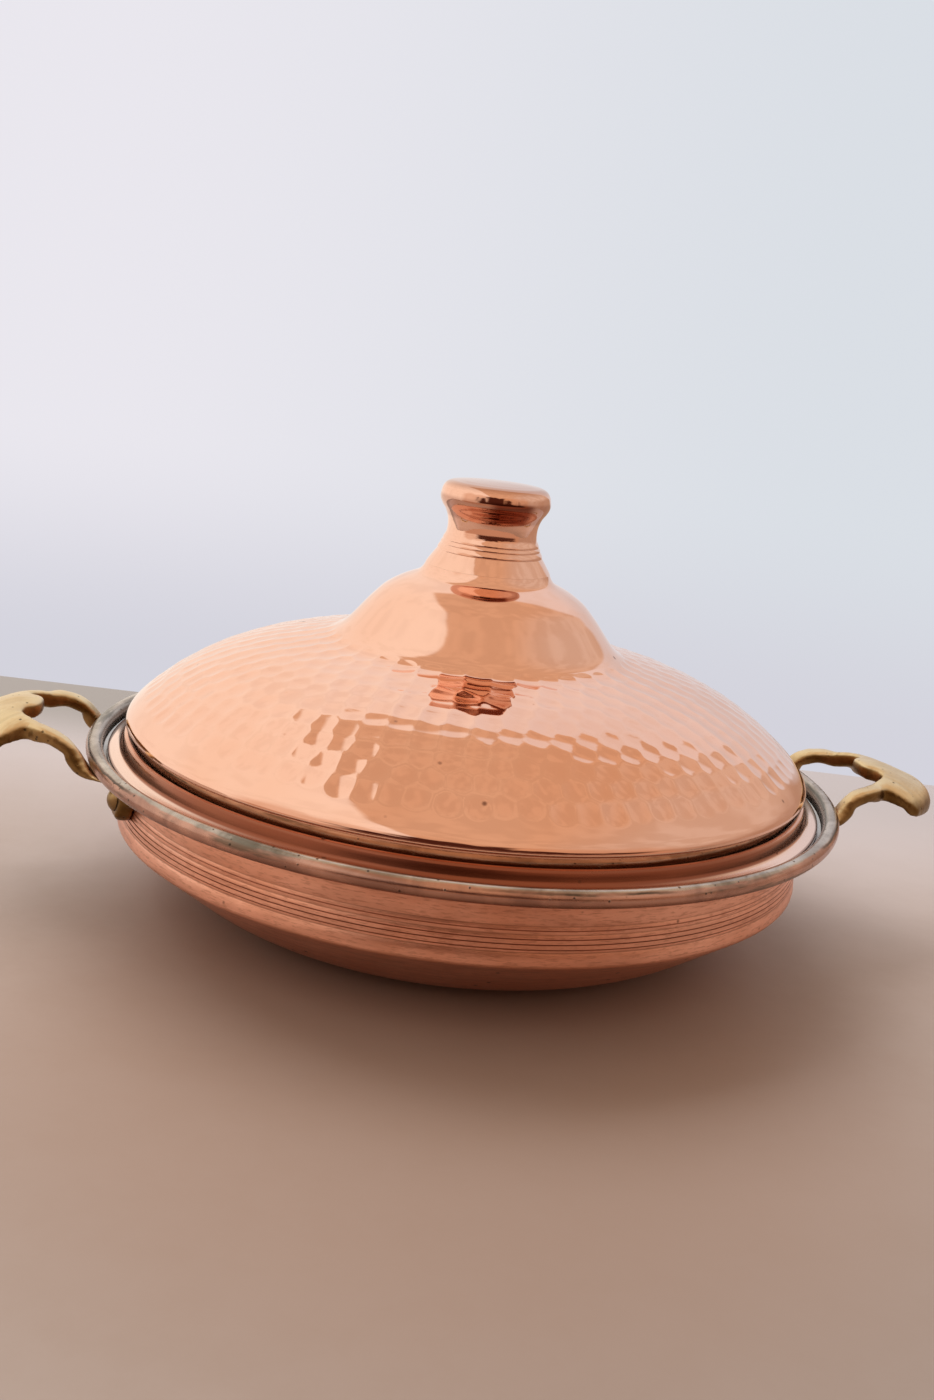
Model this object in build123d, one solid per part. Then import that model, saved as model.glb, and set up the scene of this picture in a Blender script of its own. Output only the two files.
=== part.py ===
"""Copper egg pan: a tinned copper pan with a wired rim, two riveted brass handles and a lift-off domed lid.

Millimetres, +Z up. The origin is the centre of the flat base, on the surface that the pan stands on.
The handles point along +X and -X. Every round section is drawn as (radius, height) and turned about Z.
"""

from build123d import *
from math import atan2, degrees, sqrt
import os

# Fits
FIT = 0.05                    # gap between pieces that are closed, soldered or riveted on each other
LID_GAP = 0.3                 # between the lid's flange and the ledge that it rests on

# Pan sheet and rim
PAN_SHEET = 1.0               # thickness of the copper
RIM_RADIUS = 110.0            # outside of the rolled rim
RIM_HEIGHT = 43.5             # centre of the rim wire above the table
WIRE_RADIUS = 1.05
ROLL_GAP = 0.3                # between the wire and the sheet rolled round it
RIM_CLOSE_ANGLE = 285.0       # how far the sheet is rolled round the wire

# Pan section, outer face
BASE_CORNER_INSET = 39.5      # where the flat base and the belly would meet, in from the rim
BASE_BEND = 52.0              # radius of the bend between them
KNUCKLE_INSET = 9.6           # where the belly and the wall would meet, in from the rim
KNUCKLE_HEIGHT = 22.5
KNUCKLE_BEND = 6.0
WALL_TOP_INSET = 12.0         # where the wall and the ledge would meet, in from the rim
WALL_TOP_BEND = 2.5
LEDGE_DROP = 3.1              # underside of the ledge below the rim wire
LEDGE_BEND = 1.8

# Lid
LID_SHEET = 1.0
FLANGE_INSET = 6.0            # edge of the flange, in from the rim
FLANGE_RISE = 1.5             # the flange climbs a little towards the riser
RISER_INSET = 9.7             # foot of the lower band of the riser, in from the rim
BAND_INSET = 10.1             # top of the lower band, in from the rim
BAND_HEIGHT = 2.6
NECK_INSET = 11.2             # upper band, drawn in under the dome's edge
NECK_STEP = 1.0
NECK_HEIGHT = 2.4
DOME_INSET = 10.5             # the dome's edge, in from the rim
DOME_LIP = 0.7
CROWN_RADIUS = 38.8           # crease between the hammered dome and the smooth crown
CROWN_FOOT_HEIGHT = 38.4      # above the flange's outer edge
SEAT_RADIUS = 16.6            # flat top of the crown, where the knob stands
SEAT_HEIGHT = 59.6            # above the flange's outer edge

# Knob and what holds it
KNOB_SHEET = 0.9
KNOB_HEIGHT = 24.8
KNOB_WAIST_RADIUS = 12.1
KNOB_WAIST_HEIGHT = 10.4
KNOB_LIP_RADIUS = 15.6
KNOB_LIP_HEIGHT = 19.8
RING_RADIUS = 16.4            # lower ring step at the knob's foot
RING_SMALLER = 1.1            # the upper ring step is smaller by this
RING_HEIGHT = 1.9             # height of one ring step
PLUG_HEIGHT = 7.0
SCREW_RADIUS = 2.5
SCREW_HEAD_RADIUS = 4.8
SCREW_HEAD_HEIGHT = 2.8
SCREW_BITE = 6.0              # length of the screw in the plug
WASHER_RADIUS = 8.0
WASHER_THICKNESS = 1.2

# Handles, as distances from the pan's axis and heights from the rim wire
HANDLE_LENGTH = 37.0          # from the rim to the end of the grip
GRIP_HALF_WIDTH = 22.0
WAIST_OUT = 14.5              # from the rim to the waist
WAIST_HALF_WIDTH = 18.5
LEG_OUTER = 24.0              # outer edge of a leg, at mid length
LEG_INNER = 17.5
TONGUE_OUT = 12.5             # from the rim to the tip of the tongue
TONGUE_HALF_WIDTH = 5.8
LEG_RISE = 5.2                # top face of a leg at the waist, above the rim wire
RIDGE_HEIGHT = 7.9            # highest point of the grip, above the rim wire
SHOULDER_FALL = 4.8           # how far the grip falls from its ridge to its sides
END_ROUND = 12.5              # how far the grip's end is drawn in at its sides
END_DROP = 1.6                # edge of the grip's end, below the rim wire
HANDLE_THICKNESS = 4.8
FOOT_THICKNESS = 4.4
FOOT_DROP = 15.5              # lowest point of a foot below the rim wire
FOOT_OFFSET = 26.5            # middle of a foot from the handle's middle line
FOOT_HALF_WIDTH = 5.6

# Rivets
RIVET_RADIUS = 2.0
RIVET_HEAD_RADIUS = 3.4
RIVET_HEAD_HEIGHT = 2.0
RIVET_TAIL_RADIUS = 3.6
RIVET_TAIL_HEIGHT = 1.3

# Worked out from the values above
BASE_CORNER_RADIUS = RIM_RADIUS - BASE_CORNER_INSET
KNUCKLE_RADIUS = RIM_RADIUS - KNUCKLE_INSET
WALL_TOP_RADIUS = RIM_RADIUS - WALL_TOP_INSET
FLANGE_RADIUS = RIM_RADIUS - FLANGE_INSET
RISER_RADIUS = RIM_RADIUS - RISER_INSET
BAND_RADIUS = RIM_RADIUS - BAND_INSET
NECK_RADIUS = RIM_RADIUS - NECK_INSET
DOME_RADIUS = RIM_RADIUS - DOME_INSET
HANDLE_REACH = RIM_RADIUS + HANDLE_LENGTH
WAIST_REACH = RIM_RADIUS + WAIST_OUT
TONGUE_REACH = RIM_RADIUS + TONGUE_OUT
BORE_RADIUS = WIRE_RADIUS + ROLL_GAP                 # inside of the rolled rim
BEAD_RADIUS = BORE_RADIUS + PAN_SHEET                # outside of the rolled rim's own section
WIRE_RING_RADIUS = RIM_RADIUS - BEAD_RADIUS
LEDGE_UNDER = RIM_HEIGHT - LEDGE_DROP
LEDGE_TOP = LEDGE_UNDER + PAN_SHEET
FLANGE_TOP = LEDGE_TOP + LID_GAP + LID_SHEET         # outer edge of the lid's flange
SEAT_TOP = FLANGE_TOP + SEAT_HEIGHT
WALL_LEAN = (KNUCKLE_RADIUS - WALL_TOP_RADIUS) / (LEDGE_UNDER - KNUCKLE_HEIGHT)
WALL_ANGLE = degrees(atan2(WALL_LEAN, 1))


def wall_radius(height):
    """Outer radius of the pan's wall at a height between the knuckle and the ledge."""
    return KNUCKLE_RADIUS - WALL_LEAN * (height - KNUCKLE_HEIGHT)


def turned(section):
    """Turns a section drawn as (radius, height) about the Z axis."""
    return revolve(Plane.XZ * section, Axis.Z)


def shifted(corners, distance):
    """Corners of the line that runs at a distance to the left of the line through the given corners."""
    points = [Vector(*corner) for corner in corners]
    ways = [(b - a).normalized() for a, b in zip(points, points[1:])]
    lefts = [Vector(-way.Y, way.X) for way in ways]
    moved = [points[0] + lefts[0] * distance]
    for corner, before, after in zip(points[1:-1], lefts, lefts[1:]):
        moved.append(corner + (before + after) * (distance / (1 + before.dot(after))))
    moved.append(points[-1] + lefts[-1] * distance)
    return moved


def beside(curve, distance, start, end):
    """Spline at a distance to the left of a curve, between two given points."""
    middle = []
    for place in (0.15, 0.38, 0.62, 0.85):
        way = curve % place
        middle.append(curve @ place + Vector(-way.Y, way.X) * distance)
    return Spline(start, *middle, end)


def pan_body():
    """Spun sheet from the base to the ledge, rolled outwards over the rim wire."""
    roll_start = WIRE_RING_RADIUS - BORE_RADIUS
    copper_face = [
        (0, 0),
        (BASE_CORNER_RADIUS, 0),
        (KNUCKLE_RADIUS, KNUCKLE_HEIGHT),
        (WALL_TOP_RADIUS, LEDGE_UNDER),
        (roll_start, LEDGE_UNDER),
        (roll_start, RIM_HEIGHT),
    ]
    tinned_face = shifted(copper_face, PAN_SHEET)
    bends = [BASE_BEND, KNUCKLE_BEND, WALL_TOP_BEND, LEDGE_BEND]
    tinned_bends = [BASE_BEND - PAN_SHEET, KNUCKLE_BEND - PAN_SHEET, WALL_TOP_BEND + PAN_SHEET, LEDGE_BEND - PAN_SHEET]
    centre = (WIRE_RING_RADIUS, RIM_HEIGHT)
    with BuildLine() as section:
        outside = FilletPolyline(*copper_face, radius=bends)
        bore = CenterArc(centre, BORE_RADIUS, 180, -RIM_CLOSE_ANGLE)
        roll = CenterArc(centre, BEAD_RADIUS, 180, -RIM_CLOSE_ANGLE)
        inside = FilletPolyline(*tinned_face, radius=tinned_bends)
        Line(outside @ 0, inside @ 0)
        Line(bore @ 1, roll @ 1)
    body = turned(make_face(section.line))
    for place in foot_places():
        body -= place * Cylinder(RIVET_RADIUS + FIT, 6 * PAN_SHEET)
    return body


def rim_wire():
    """Closed wire ring inside the rolled rim."""
    return Pos(0, 0, RIM_HEIGHT) * Torus(WIRE_RING_RADIUS, WIRE_RADIUS)


def foot_places():
    """Planes on the wall's outer face at the rivets of both handles, each facing out of the wall."""
    height = RIM_HEIGHT - FOOT_DROP + FOOT_HALF_WIDTH
    radius = wall_radius(height)
    turn = degrees(atan2(FOOT_OFFSET, sqrt(radius**2 - FOOT_OFFSET**2)))
    places = []
    for handle in (0, 180):
        for side in (-1, 1):
            along = Rot(0, 0, handle + side * turn) * Pos(radius, 0, height)
            places.append(along * Rot(0, 90 - WALL_ANGLE, 0))
    return places


def leg_band():
    """Side view of the legs: the feet on the wall and the legs out under the rim, up to the waist."""
    foot_low = RIM_HEIGHT - FOOT_DROP
    foot_high = LEDGE_UNDER - WALL_TOP_BEND
    face_high = RIM_HEIGHT - 7.6
    seat = FOOT_THICKNESS + FIT
    waist = (WAIST_REACH, RIM_HEIGHT + LEG_RISE)
    waist_under = (WAIST_REACH, RIM_HEIGHT + LEG_RISE - HANDLE_THICKNESS)
    leg = [
        (wall_radius(foot_high) + FIT, foot_high),
        (WIRE_RING_RADIUS - 3, RIM_HEIGHT - BEAD_RADIUS - 1.9),
        (WIRE_RING_RADIUS + 1.4, RIM_HEIGHT - BEAD_RADIUS - 0.2),
        (RIM_RADIUS + 1.2, RIM_HEIGHT + 0.4),
        (RIM_RADIUS + 4.2, RIM_HEIGHT + 0.75 * LEG_RISE),
        waist,
    ]
    leg_under = [
        waist_under,
        (RIM_RADIUS + 8.5, RIM_HEIGHT + 0.16 * LEG_RISE),
        (RIM_RADIUS + 3.5, RIM_HEIGHT - 2.0),
        (RIM_RADIUS - 0.2, RIM_HEIGHT - 5.3),
        (wall_radius(face_high) + seat, face_high),
    ]
    with BuildLine() as outline:
        Line((wall_radius(foot_low) + FIT, foot_low), leg[0])
        Spline(*leg, tangents=[(1, 0.12), (1, 0.1)])
        Line(waist, waist_under)
        Spline(*leg_under, tangents=[(-1, -0.05), (-0.4, -1)])
        Polyline(
            leg_under[-1],
            (wall_radius(foot_low + 2.2) + seat, foot_low + 2.2),
            (wall_radius(foot_low) + 0.65 * seat, foot_low),
            (wall_radius(foot_low) + FIT, foot_low),
        )
    return make_face(outline.wire())


def grip_slice(across):
    """Side view of the grip at a distance from its middle line: it falls away to the sides and rolls over at its end."""
    part = across / GRIP_HALF_WIDTH
    top = RIM_HEIGHT + RIDGE_HEIGHT - 0.4 * SHOULDER_FALL * part - 0.6 * SHOULDER_FALL * part**4
    end = HANDLE_REACH - END_ROUND * part**2
    start = TONGUE_REACH - 1
    under = top - HANDLE_THICKNESS
    reach = end - start
    drop = top - RIM_HEIGHT + END_DROP
    upper = [
        (start, top - 0.6),
        (start + 0.22 * reach, top),
        (start + 0.6 * reach, top - 0.17 * drop),
        (end - 2.2, top - 0.45 * drop),
        (end, top - drop),
    ]
    lower = [
        (end - 1.8, top - drop - 1.8),
        (start + 0.62 * reach, under - 0.13 * drop),
        (start + 0.22 * reach, under),
        (start, under - 0.4),
    ]
    with BuildLine() as outline:
        Spline(*upper)
        Line(upper[-1], lower[0])
        Spline(*lower)
        Line(lower[-1], upper[0])
    return Plane.XZ.offset(-across) * make_face(outline.wire())


def grip():
    """The grip as a loft over half its width, mirrored, so that a faint ridge stays along its middle."""
    slices = [grip_slice(part * GRIP_HALF_WIDTH) for part in (0, 0.35, 0.7, 1.05)]
    half = loft(slices)
    return half + mirror(half, about=Plane.XZ)


def handle_plan():
    """Top view of the handle: two legs, a waist, a flared grip and a tongue between the legs."""
    inside = WALL_TOP_RADIUS - 12
    half = [
        (inside, FOOT_OFFSET + FOOT_HALF_WIDTH),
        (wall_radius(KNUCKLE_HEIGHT), FOOT_OFFSET + FOOT_HALF_WIDTH - 1),
        (RIM_RADIUS, LEG_OUTER + 1.2),
        (RIM_RADIUS + 6, LEG_OUTER),
        (WAIST_REACH - 4, 0.5 * (LEG_OUTER + WAIST_HALF_WIDTH) + 1.2),
        (WAIST_REACH, WAIST_HALF_WIDTH),
    ]
    flare = [
        (WAIST_REACH, WAIST_HALF_WIDTH),
        (WAIST_REACH + 3.6, GRIP_HALF_WIDTH - 1.6),
        (WAIST_REACH + 8, GRIP_HALF_WIDTH),
        (HANDLE_REACH - 8.6, GRIP_HALF_WIDTH - 3.2),
        (HANDLE_REACH - 2.6, 0.44 * GRIP_HALF_WIDTH),
        (HANDLE_REACH, 0),
    ]
    eye_end = WAIST_REACH + 2.5
    eye = [
        (inside, FOOT_OFFSET - FOOT_HALF_WIDTH),
        (RIM_RADIUS - 2, LEG_INNER + 1.6),
        (RIM_RADIUS + 7, LEG_INNER),
        (WAIST_REACH - 3, LEG_INNER - 2.4),
        (eye_end, 0.5 * (LEG_INNER + TONGUE_HALF_WIDTH) - 2.5),
        (eye_end - 1.6, TONGUE_HALF_WIDTH),
    ]
    tongue_start = (TONGUE_REACH + 0.6 * TONGUE_HALF_WIDTH, TONGUE_HALF_WIDTH)
    with BuildLine() as outline:
        Spline(*half)
        Spline(*flare, tangents=[(1, 0.8), (0, -1)])
        Spline(*eye)
        Line(eye[-1], tongue_start)
        Spline(tongue_start, (TONGUE_REACH, 0), tangents=[(-1, 0), (0, -1)])
        Line(half[0], eye[0])
        mirror(about=Plane.XZ)
    return make_face(outline.wire())


def handle():
    """Right handle: turned legs and a lofted grip, cut to the top view and to the two feet."""
    spread = 40
    legs = Rot(0, 0, -spread / 2) * revolve(Plane.XZ * leg_band(), Axis.Z, revolution_arc=spread)
    body = (legs + grip()) & extrude(handle_plan(), amount=RIM_HEIGHT + 2 * RIDGE_HEIGHT)
    foot_centre = RIM_HEIGHT - FOOT_DROP + FOOT_HALF_WIDTH
    below = Pos(RIM_RADIUS, 0, foot_centre - FOOT_HALF_WIDTH) * Box(
        60, 4 * FOOT_OFFSET, 2 * FOOT_HALF_WIDTH, align=(Align.CENTER, Align.CENTER, Align.CENTER)
    )
    for side in (-1, 1):
        below -= Pos(RIM_RADIUS, side * FOOT_OFFSET, foot_centre) * Rot(0, 90, 0) * Cylinder(FOOT_HALF_WIDTH, 80)
    body -= below
    spot_depth = 3 * RIVET_HEAD_HEIGHT
    spot = Pos(0, 0, FOOT_THICKNESS + FIT + 0.5 * spot_depth) * Cylinder(RIVET_HEAD_RADIUS + 0.4, spot_depth)
    for place in foot_places()[:2]:
        body -= place * Cylinder(RIVET_RADIUS + FIT, 6 * FOOT_THICKNESS)
        body -= place * spot
    return body


def rivets(places):
    """Rivets with a round head on the foot and a flat head on the tinned side."""
    head_flat = FOOT_THICKNESS + 2 * FIT
    tail_flat = PAN_SHEET + 2 * FIT
    dome = (RIVET_HEAD_RADIUS**2 + RIVET_HEAD_HEIGHT**2) / (2 * RIVET_HEAD_HEIGHT)
    with BuildLine() as outline:
        Line((0, -tail_flat - RIVET_TAIL_HEIGHT), (0, head_flat + RIVET_HEAD_HEIGHT))
        RadiusArc((0, head_flat + RIVET_HEAD_HEIGHT), (RIVET_HEAD_RADIUS, head_flat), dome)
        Polyline(
            (RIVET_HEAD_RADIUS, head_flat),
            (RIVET_RADIUS, head_flat),
            (RIVET_RADIUS, -tail_flat),
            (RIVET_TAIL_RADIUS, -tail_flat),
            (0.8 * RIVET_TAIL_RADIUS, -tail_flat - RIVET_TAIL_HEIGHT),
            (0, -tail_flat - RIVET_TAIL_HEIGHT),
        )
    rivet = turned(make_face(outline.wire()))
    return Compound(children=[place * rivet for place in places])


def lid_shell():
    """Spun sheet from the flange through the beaded riser and the dome to the seat of the knob."""
    band_top = FLANGE_TOP + FLANGE_RISE + BAND_HEIGHT
    neck_low = band_top + NECK_STEP
    neck_high = neck_low + NECK_HEIGHT
    edge = neck_high + DOME_LIP
    crown_foot = FLANGE_TOP + CROWN_FOOT_HEIGHT
    with BuildLine() as section:
        dome = Spline(
            (DOME_RADIUS, edge),
            (DOME_RADIUS - 4.5, edge + 6.0),
            (DOME_RADIUS - 15.9, edge + 14.8),
            (0.5 * (DOME_RADIUS + CROWN_RADIUS) - 5, crown_foot - 6.4),
            (CROWN_RADIUS, crown_foot),
            tangents=[(-0.12, 1), (-1, 0.28)],
        )
        crown = Spline(
            (CROWN_RADIUS, crown_foot),
            (0.5 * (CROWN_RADIUS + SEAT_RADIUS) + 2.5, crown_foot + 0.53 * (SEAT_TOP - crown_foot)),
            (SEAT_RADIUS + 6.9, crown_foot + 0.74 * (SEAT_TOP - crown_foot)),
            (SEAT_RADIUS, SEAT_TOP),
            tangents=[(-0.45, 1), (-0.75, 1)],
        )
        crease = (CROWN_RADIUS - 0.75 * LID_SHEET, crown_foot - 0.9 * LID_SHEET)
        under_seat = (SEAT_RADIUS - 0.5 * LID_SHEET, SEAT_TOP - LID_SHEET)
        low = (NECK_RADIUS - LID_SHEET, neck_low)
        high = (NECK_RADIUS - LID_SHEET, neck_high)
        under_edge = (DOME_RADIUS - LID_SHEET, edge + 0.2)
        Line(crown @ 1, (0, SEAT_TOP))
        Line((0, SEAT_TOP), (0, SEAT_TOP - LID_SHEET))
        Line((0, SEAT_TOP - LID_SHEET), under_seat)
        beside(crown, LID_SHEET, crease, under_seat)
        beside(dome, LID_SHEET, under_edge, crease)
        Polyline(
            under_edge,
            high,
            low,
            (BAND_RADIUS - LID_SHEET - 0.6, band_top),
            (RISER_RADIUS - LID_SHEET, FLANGE_TOP + FLANGE_RISE - LID_SHEET),
            (FLANGE_RADIUS, FLANGE_TOP - LID_SHEET),
            (FLANGE_RADIUS, FLANGE_TOP),
            (RISER_RADIUS, FLANGE_TOP + FLANGE_RISE),
            (BAND_RADIUS, band_top),
            (NECK_RADIUS, neck_low),
            (NECK_RADIUS, neck_high),
            dome @ 0,
        )
    shell = turned(make_face(section.line))
    return shell - Pos(0, 0, SEAT_TOP) * Cylinder(SCREW_RADIUS + FIT, 4 * LID_SHEET)


def knob():
    """Spun knob, hollow and open at its foot, with two beads round the foot."""
    foot = SEAT_TOP + 2 * RING_HEIGHT
    foot_radius = RING_RADIUS - 2 * RING_SMALLER
    middle_ring = (RING_RADIUS - RING_SMALLER, SEAT_TOP + RING_HEIGHT)
    low = SEAT_TOP + FIT
    crest = SEAT_TOP + KNOB_HEIGHT
    with BuildLine() as section:
        RadiusArc((RING_RADIUS, low), middle_ring, -1.2 * RING_HEIGHT)
        RadiusArc(middle_ring, (foot_radius, foot), -1.2 * RING_HEIGHT)
        face = Spline(
            (foot_radius, foot),
            (KNOB_WAIST_RADIUS, SEAT_TOP + KNOB_WAIST_HEIGHT),
            (KNOB_LIP_RADIUS, SEAT_TOP + KNOB_LIP_HEIGHT),
            (KNOB_LIP_RADIUS - 1.9, crest - 1.5),
            (0.5 * KNOB_LIP_RADIUS, crest - 0.3),
            (0, crest),
            tangents=[(-0.6, 1), (-1, 0)],
        )
        Line((0, crest), (0, crest - KNOB_SHEET))
        beside(face, KNOB_SHEET, (foot_radius - KNOB_SHEET, foot), (0, crest - KNOB_SHEET))
        Polyline((foot_radius - KNOB_SHEET, foot), (foot_radius - KNOB_SHEET, low), (RING_RADIUS, low))
    return turned(make_face(section.line))


def knob_plug():
    """Plug soldered inside the knob's foot, following its inner face."""
    inside = RING_RADIUS - 2 * RING_SMALLER - KNOB_SHEET - FIT
    waist = KNOB_WAIST_RADIUS - KNOB_SHEET - FIT
    section = Polyline(
        (0, SEAT_TOP + FIT),
        (inside, SEAT_TOP + FIT),
        (inside, SEAT_TOP + 2 * RING_HEIGHT - 1.2),
        (waist - 0.35, SEAT_TOP + PLUG_HEIGHT),
        (0, SEAT_TOP + PLUG_HEIGHT),
        (0, SEAT_TOP + FIT),
    )
    return turned(make_face(section)) - Pos(0, 0, SEAT_TOP) * Cylinder(
        SCREW_RADIUS + FIT, 2 * (SCREW_BITE + FIT)
    )


def knob_washer():
    """Washer between the screw's head and the inside of the crown."""
    washer = Cylinder(WASHER_RADIUS, WASHER_THICKNESS) - Cylinder(SCREW_RADIUS + FIT, 2 * WASHER_THICKNESS)
    return Pos(0, 0, SEAT_TOP - LID_SHEET - 0.5 * WASHER_THICKNESS) * washer


def knob_screw():
    """Pan-head screw from inside the crown up into the plug, with a straight slot."""
    seat = SEAT_TOP - LID_SHEET - WASHER_THICKNESS
    shank_length = SEAT_TOP + SCREW_BITE - seat
    shank = Pos(0, 0, seat + 0.5 * shank_length) * Cylinder(SCREW_RADIUS, shank_length)
    head = Pos(0, 0, seat - 0.5 * SCREW_HEAD_HEIGHT) * Cylinder(SCREW_HEAD_RADIUS, SCREW_HEAD_HEIGHT)
    head = fillet(head.edges().group_by(Axis.Z)[0], 0.4 * SCREW_HEAD_HEIGHT)
    slot = Pos(0, 0, seat - SCREW_HEAD_HEIGHT) * Box(3 * SCREW_HEAD_RADIUS, 0.5 * SCREW_RADIUS, 0.9 * SCREW_HEAD_HEIGHT)
    return shank + head - slot


right = handle()
places = foot_places()
nodes = {
    "pan_body": pan_body(),
    "rim_wire": rim_wire(),
    "right_handle": right,
    "left_handle": Rot(0, 0, 180) * right,
    "right_rivets": rivets(places[:2]),
    "left_rivets": rivets(places[2:]),
    "lid_shell": lid_shell(),
    "knob": knob(),
    "knob_plug": knob_plug(),
    "knob_washer": knob_washer(),
    "knob_screw": knob_screw(),
}

os.makedirs("parts", exist_ok=True)
for name, shape in nodes.items():
    export_step(shape, f"parts/{name}.step")
    print(name, len(shape.solids()), "solid(s),", round(shape.volume), "mm3")
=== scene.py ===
# %% [markdown]
# # A copper egg pan with a hammered lid
#
# The object is a small spun copper pan, tinned inside, with two cast brass handles and a domed lid. The measured
# solids come in as a fixed frame. This file gives them their looks: it makes the hammered lid, the turned pan, the
# knob and the cast handles as finer meshes in the places of the solids, and it gives every part a worn metal
# finish. All lengths are in metres, Z points up, and the pan stands on Z = 0 with its handles along X.

# %% Load the frame
import math
import random

import bmesh
import bpy
from mathutils import Matrix, Vector, noise


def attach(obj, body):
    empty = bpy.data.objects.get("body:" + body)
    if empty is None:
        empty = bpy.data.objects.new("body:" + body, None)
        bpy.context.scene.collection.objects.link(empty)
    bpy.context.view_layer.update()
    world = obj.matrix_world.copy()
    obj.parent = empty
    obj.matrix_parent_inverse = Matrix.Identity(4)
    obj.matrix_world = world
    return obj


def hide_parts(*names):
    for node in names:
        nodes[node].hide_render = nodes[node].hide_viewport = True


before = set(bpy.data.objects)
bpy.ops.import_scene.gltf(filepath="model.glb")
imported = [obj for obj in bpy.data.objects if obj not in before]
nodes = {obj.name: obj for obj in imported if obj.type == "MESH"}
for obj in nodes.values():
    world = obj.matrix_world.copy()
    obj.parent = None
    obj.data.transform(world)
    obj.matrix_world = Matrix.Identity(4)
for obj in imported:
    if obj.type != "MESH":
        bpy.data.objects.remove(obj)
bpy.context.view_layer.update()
MM = 0.001
print("parts:", ", ".join(sorted(nodes)))

# %% [markdown]
# ## The camera
#
# A picture of a round pan gives its camera away: the rim, the lid's flange and the dome's edge are circles, and a
# camera at the right height sees each of them as the right ellipse. The camera could be placed by eye, but then
# every later comparison would be a guess. So it is set by the few numbers that fit those circles: how far it is
# from the middle of the rim, how steeply it looks down, which way the handles are turned, and a small roll.

# %% Place the camera
RIM_HEIGHT = 43.5 * MM
PICTURE_HEIGHT = 1400
LENS_PIXELS = 1495.9
SENSOR = 36
RIM_MIDDLE = (465.11, 761.41)
OPTICAL_MIDDLE = (467, 700)
DISTANCE = 447.2 * MM
LOOKING_DOWN = math.radians(16.015)
TURN = math.radians(9.82)
ROLL = math.radians(6.713)

scene = bpy.context.scene
lens = bpy.data.cameras.new("lens")
lens.sensor_fit = "VERTICAL"
lens.sensor_height = SENSOR
lens.lens = LENS_PIXELS / PICTURE_HEIGHT * SENSOR
lens.clip_start = 0.01
camera = bpy.data.objects.new("camera", lens)
scene.collection.objects.link(camera)
scene.camera = camera

turn = Matrix.Rotation(-TURN, 3, "Z")
back = turn @ Vector((0, -math.cos(LOOKING_DOWN), math.sin(LOOKING_DOWN)))
right = turn @ Vector((1, 0, 0))
up = back.cross(right)
across = math.cos(ROLL) * right + math.sin(ROLL) * up
upright = math.cos(ROLL) * up - math.sin(ROLL) * right
ray = Vector((RIM_MIDDLE[0] - OPTICAL_MIDDLE[0], OPTICAL_MIDDLE[1] - RIM_MIDDLE[1], -LENS_PIXELS)).normalized()
aim = Vector((0, 0, -1)).rotation_difference(ray).to_matrix()
view = aim @ Matrix((across, upright, back))
camera.matrix_world = Matrix.Translation(Vector((0, 0, RIM_HEIGHT)) + back * DISTANCE) @ view.transposed().to_4x4()
print("lens", round(lens.lens, 2), "mm, camera at", [round(c, 3) for c in camera.matrix_world.translation])

# %% [markdown]
# ## Helpers for shader nodes
#
# A finish is a small network of nodes. Wiring it by hand in code gets long, so helpers do the repeated work. One
# adds a node with its values, and one a math node. A third makes a mask with soft ends from a value, and the last
# ones mix colours by masks, coat over coat.

# %% Node helpers
def add(tree, kind, values=None, **settings):
    """Adds a shader node; values go to its inputs, settings to its own options."""
    node = tree.nodes.new("ShaderNode" + kind)
    for name, setting in settings.items():
        setattr(node, name, setting)
    for name, value in (values or {}).items():
        if isinstance(value, bpy.types.NodeSocket):
            tree.links.new(value, node.inputs[name])
        else:
            node.inputs[name].default_value = value
    return node


def calc(tree, operation, *values):
    """A math node; returns its output."""
    return add(tree, "Math", dict(enumerate(values)), operation=operation).outputs[0]


def times(tree, product, *factors):
    """The product of masks and numbers."""
    for factor in factors:
        product = calc(tree, "MULTIPLY", product, factor)
    return product


def soften(tree, value, low, high, out_low=0.0, out_high=1.0):
    """Maps a value from low..high to out_low..out_high with soft ends."""
    ends = {"Value": value, "From Min": low, "From Max": high, "To Min": out_low, "To Max": out_high}
    return add(tree, "MapRange", ends, interpolation_type="SMOOTHSTEP").outputs[0]


def between(tree, value, start, full, full_end, end):
    """A mask that rises from start to full and falls again from full_end to end."""
    return times(tree, soften(tree, value, start, full), soften(tree, value, end, full_end))


print("node helpers ready")

# %% Colour helpers
def blend_colours(tree, mask, first, second):
    """Mixes two colours, each a socket or an RGB triple, by a mask."""
    node = add(tree, "Mix", data_type="RGBA")
    tree.links.new(mask, node.inputs[0])
    for index, colour in ((6, first), (7, second)):
        if isinstance(colour, bpy.types.NodeSocket):
            tree.links.new(colour, node.inputs[index])
        else:
            node.inputs[index].default_value = (*colour, 1)
    return node.outputs[2]


def lay_over(tree, colour, coats):
    """Lays coats, each a mask and a colour, one after another over a colour."""
    for mask, coat in coats:
        colour = blend_colours(tree, mask, colour, coat)
    return colour


def speckle(tree, where, scale, detail=4.0, roughness=0.5, stretch=(1, 1, 1)):
    """Fractal noise on the object's own coordinates; scale is in features per metre."""
    placed = add(tree, "Mapping", {"Vector": where, "Scale": stretch}).outputs[0]
    looks = {"Vector": placed, "Scale": scale, "Detail": detail, "Roughness": roughness}
    return add(tree, "TexNoise", looks).outputs["Fac"]


print("colour helpers ready")

# %% [markdown]
# ## Polar coordinates as a shared group
#
# Everything that was spun or turned on a lathe has marks that run round its axis. A group turns the object's
# coordinates into radius, angle and height, so that rings, turned lines and streaks follow the real tool marks.
# An image wrapped round the pan would show a seam; this doesn't.

# %% The polar group
ROUND_SIZE = 0.02
HEIGHT_SHARE = 1.7


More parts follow.
